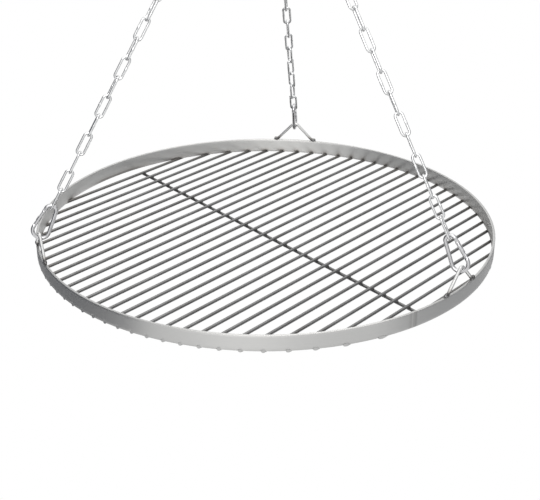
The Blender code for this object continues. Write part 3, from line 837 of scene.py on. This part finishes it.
def leg_axes(side):
    """Directions at a chain's line: up it, inward square to it, and along the hoop square to both."""
    upper, lower = leg(side)
    upward = (upper - lower).normalized()
    inward = upright.cross(radial(side)).cross(upward).normalized()
    return upward, inward, upward.cross(inward)


def chain_tree(surface):
    tree, given, add, field, calc, finish = node_tree("long_link_chain", [
        ("Count", "Int"), ("Pitch", "Float"), ("Link Run", "Float"), ("Link Width", "Float"),
        ("Wire", "Float"), ("First Turn", "Float"), ("Turn Step", "Float"), ("Roll", "Float"),
        ("Swelling", "Float"), ("Seed", "Int")])
    height = calc("SUBTRACT", given["Link Width"], given["Wire"])
    box = add("CurvePrimitiveQuadrilateral", {"Width": given["Link Run"], "Height": height})
    bends = add("FilletCurve", {"Curve": box, "Radius": calc("MULTIPLY", height, 0.5),
                                "Count": link_bend_steps, "Limit Radius": True}, mode="POLY")
    stadium = add("ResampleCurve", {"Curve": bends, "Count": link_stations})
    radius = calc("MULTIPLY", given["Wire"], 0.5)
    ring = add("CurvePrimitiveCircle", {"Resolution": link_sides, "Radius": radius})
    wire = add("CurveToMesh", {"Curve": stadium, "Profile Curve": ring})
    # the butt weld swells the middle of one long side
    spot = field("ShaderNodeSeparateXYZ", {"Vector": add("InputPosition")}).outputs
    from_weld = calc("DIVIDE", spot["X"], link_weld_spread)
    swelling = calc("EXPONENT", calc("MULTIPLY", calc("MULTIPLY", from_weld, from_weld), -1.0))
    swelling = calc("MULTIPLY", swelling, calc("GREATER_THAN", spot["Y"], 0.0))
    swelling = calc("MULTIPLY", swelling, given["Swelling"])
    normal = add("InputNormal")
    push = field("ShaderNodeVectorMath", {0: normal, "Scale": swelling}, operation="SCALE")
    link = add("SetPosition", {"Geometry": wire, "Offset": push})
    index = add("InputIndex")
    spots = add("Points", {"Count": given["Count"]})
    place = field("ShaderNodeCombineXYZ", {"X": calc("MULTIPLY", index, given["Pitch"])})
    laid = add("SetPosition", {"Geometry": spots, "Position": place})
    roll = field("FunctionNodeRandomValue", {2: calc("MULTIPLY", given["Roll"], -1.0), 3: given["Roll"],
                                             "Seed": given["Seed"]}, data_type="FLOAT").outputs[1]
    turn = calc("ADD", calc("MULTIPLY_ADD", index, given["Turn Step"], given["First Turn"]), roll)
    turned = field("FunctionNodeEulerToRotation", {0: field("ShaderNodeCombineXYZ", {"X": turn})})
    links = add("InstanceOnPoints", {"Points": laid, "Instance": link, "Rotation": turned})
    finish(links, surface)
    return tree


chain_steel = plated_steel("plated_chain_steel", (0.76, 0.765, 0.77), 0.16, 0.82)
links = chain_tree(chain_steel)
link_run = link_pitch + link_wire - link_play
bedded_run = link_pitch + link_wire - link_bed
for side in bail_azimuths:
    upper, lower = leg(side)
    upward, inward, tangent = leg_axes(side)
    free_run = (upper - lower).length - chain_foot + 0.5 * (ring_wire + link_wire) + running_gap
    pitch = (free_run - bedded_run) / (link_count - 1)
    head = Vector((cos(ring_angles[side]), 0.0, sin(ring_angles[side]))).cross(-upward)
    twist = atan2(head.dot(inward), head.dot(tangent)) - link_turns[side] - 0.5 * pi * (link_count - 1)
    twist = (twist + 0.5 * pi) % pi - 0.5 * pi + pi * half_turns[side]
    name = "chain_links_" + side
    chain_shape = grown_mesh(name, links, {
        "Count": link_count, "Pitch": pitch, "Link Run": link_run, "Link Width": link_width,
        "Wire": link_wire, "First Turn": -link_turns[side], "Turn Step": -0.5 * pi - twist / (link_count - 1),
        "Roll": link_roll, "Swelling": link_swelling, "Seed": chain_seed[side]})
    middle_link = lower + upward * (chain_foot + 0.5 * bedded_run)
    chain_shape.transform(frame_of(upward, tangent, middle_link))
    chain = show(name, chain_shape, chain_steel, 180.0)
    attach(chain, "grate")
    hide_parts("chain_" + side)

# Snap hooks: pear-shaped hooks of bent wire, their ends flattened. A slotted gate turns on a domed rivet
# in one end and closes on the other, pushed out by a leaf spring inside it. The one at the top is larger.
snap_turns = {"back": 0.0, "left": radians(14.0), "right": radians(-15.0)}
top_snap_scale = 1.2
gate_lug = 0.0026                            # thickness of the flattened ends
gate_cheek_gap = 0.0004
gate_edge = 0.00022
rivet_diameter = 0.0018
polish = 0.0001                              # taken off the wire all round
flat_end, flat_ease = 1.05, 0.55             # how far the flattening goes, and how softly it ends, in wires
flat_square = 0.45                           # how square a flattened section is, where 1 is round


def sized_snap(scale):
    """Sizes of a hook in its own plane: across towards the gate, and up."""
    wire = snap_wire * scale
    wide = 0.5 * (snap_wide * scale - wire)
    narrow = 0.5 * (snap_narrow * scale - wire)
    span = snap_length * scale - wire - wide - narrow
    lean = asin((wide - narrow) / span)
    side = span * cos(lean)
    return {"wire": wire, "wide": wide, "narrow": narrow, "span": span, "lean": lean, "side": side,
            "pivot": side - 1.06 * wire, "nose": 1.6 * wire, "gate_tip": 0.64 * wire, "lug": 0.46 * wire}


def beside(sizes, along):
    """A point on the gate's side of a hook, so far along the straight."""
    lean = sizes["lean"]
    return Vector((cos(lean), sin(lean))) * sizes["wide"] + Vector((-sin(lean), cos(lean))) * along


def hook_body(name, sizes, place):
    wire, lean, lug = sizes["wire"], sizes["lean"], sizes["lug"]
    pivot, side, nose = sizes["pivot"], sizes["side"], sizes["nose"]
    tip = [lug * (1.0 - cos(0.5 * pi * step / 6)) for step in range(1, 7)]
    path = [beside(sizes, pivot - lug + inset) for inset in tip]
    path += [beside(sizes, pivot + (side - pivot) * step / 8) for step in range(1, 8)]
    path += arc((0.0, sizes["span"]), sizes["narrow"], lean, pi - lean, 24)
    far_side = Vector((-beside(sizes, 0.0).x, beside(sizes, 0.0).y))
    path += finer([path[-1], far_side], 0.003)[1:-1]
    path += arc((0.0, 0.0), sizes["wide"], pi - lean, 2.0 * pi + lean, 36)
    path += [beside(sizes, (nose - lug) * step / 6) for step in range(1, 6)]
    path += [beside(sizes, nose - inset) for inset in reversed(tip)]
    steps = [0.0] + [(after - before).length for before, after in zip(path, path[1:])]
    gone = [sum(steps[:index + 1]) for index in range(len(steps))]
    sections = []
    for distance in gone:
        from_end = min(distance, gone[-1] - distance) + tip[0]
        flat = 1.0 - min(1.0, max(0.0, (from_end - flat_end * wire) / (flat_ease * wire)))
        flat = flat * flat * (3.0 - 2.0 * flat)
        round_end = sqrt(max(0.0, 1.0 - (1.0 - min(1.0, from_end / lug)) ** 2))
        width = (0.5 * wire - polish + (lug - 0.5 * wire) * flat) * round_end
        depth = 0.5 * wire - polish + 0.5 * (gate_lug - wire) * flat
        sections.append((width, depth, 1.0 - (1.0 - flat_square) * flat))
    return bent_wire(name, path, sections, place, 24)


def gate_place(sizes, place):
    """The gate's own place: origin on the rivet, Z up along the gate, X outward."""
    lean = sizes["lean"]
    turn = place.to_3x3()
    outward = turn @ Vector((cos(lean), sin(lean), 0.0))
    upward = turn @ Vector((-sin(lean), cos(lean), 0.0))
    pivot = place @ beside(sizes, sizes["pivot"]).to_3d()
    return frame_of(outward, upward.cross(outward), pivot)


def turned(name, profile, sides, place=Matrix()):
    """A solid turned about Z from a profile of radius and height."""
    angles = [2.0 * pi * step / sides for step in range(sides)]
    rings = [[place @ Vector((radius * cos(angle), radius * sin(angle), height)) for angle in angles]
             for radius, height in profile]
    return loft(name, rings)


def dome(radius, seat, crown, steps):
    """The profile of a domed end, from near its middle out."""
    angles = [0.5 * pi * step / steps for step in range(1, steps + 1)]
    return [(radius * sin(angle), seat + crown * cos(angle)) for angle in angles]


def slot_cutter(half_gap, reach, low, high):
    mesh = bpy.data.meshes.new("slot")
    shape = bmesh.new()
    bmesh.ops.create_cube(shape, size=1.0, matrix=Matrix.Translation((0.0, 0.0, 0.5 * (low + high)))
                          @ Matrix.Diagonal((2.0 * reach, 2.0 * half_gap, high - low, 1.0)))
    shape.to_mesh(mesh)
    shape.free()
    return placed("slot", mesh)


def hook_gate(name, sizes, place):
    """A round bar slotted over both flattened ends, its edges broken."""
    wire = sizes["wire"]
    radius = 0.5 * wire
    reach = sizes["pivot"] - sizes["gate_tip"]
    chamfer = 0.3 * radius
    profile = dome(radius, 0.0, radius, 8) + [(radius, chamfer - reach), (radius - chamfer, -reach)]
    blank = placed(name, turned(name, profile, 32))
    half_gap = 0.5 * gate_lug + gate_cheek_gap
    pocket = sizes["lug"] + 1.3 * wire
    overlap = sizes["pivot"] - sizes["nose"] - 2.0 * running_gap
    cutters = [slot_cutter(half_gap, wire, -pocket, wire),
               slot_cutter(half_gap, wire, -reach - wire, -overlap)]
    for cutter in cutters:
        blank.modifiers.new("Slot", "BOOLEAN").object = cutter
    edge = blank.modifiers.new("Broken edge", "BEVEL")
    edge.width = gate_edge
    edge.segments = 2
    edge.limit_method = "ANGLE"
    edge.angle_limit = radians(40.0)
    mesh = evaluated(blank)
    for scrap in [blank] + cutters:
        bpy.data.objects.remove(scrap)
    mesh.transform(place)
    return mesh


def hook_rivet(name, sizes, place):
    wire = sizes["wire"]
    head, crown = 0.34 * wire, 0.12 * wire
    seat = 0.5 * wire + running_gap
    half_profile = dome(head, seat, crown, 6) + [(head, seat), (0.5 * rivet_diameter, seat)]
    profile = half_profile + [(radius, -height) for radius, height in reversed(half_profile)]
    return turned(name, profile, 24, place @ Matrix.Rotation(0.5 * pi, 4, "X"))


def lower_hook_place(side):
    lower = leg(side)[1]
    upward, inward, tangent = leg_axes(side)
    across = inward * cos(snap_turns[side]) - tangent * sin(snap_turns[side])
    return frame_of(across, upward, lower - upward * (snap_seat - snap["wide"]))


snap, top_snap = sized_snap(1.0), sized_snap(top_snap_scale)
top_base = -(top_snap["narrow"] - 0.5 * top_snap["wire"]) - top_snap["span"]
top_place = frame_of(Vector((0.0, 1.0, 0.0)), upright, Vector((0.0, 0.0, top_base)))
hooks = [(side, snap, lower_hook_place(side), "grate", side + "_gate") for side in bail_azimuths]
hooks.append(("top", top_snap, top_place, "top_hook", "top_gate"))
for side, sizes, place, body, gate_body in hooks:
    hinge = gate_place(sizes, place)
    for kind, node, make, seat, carrier in (
            ("hook_body_", "snap_", hook_body, place, body),
            ("hook_gate_", "gate_", hook_gate, hinge, gate_body),
            ("hook_rivet_", "rivet_", hook_rivet, hinge, body)):
        part = show(kind + side, make(kind + side, sizes, seat), hook_steel, 45.0)
        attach(part, carrier)
        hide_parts(node + side)
    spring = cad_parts["gate_spring_" + side]
    for socket in spring.material_slots:
        socket.material = hook_steel
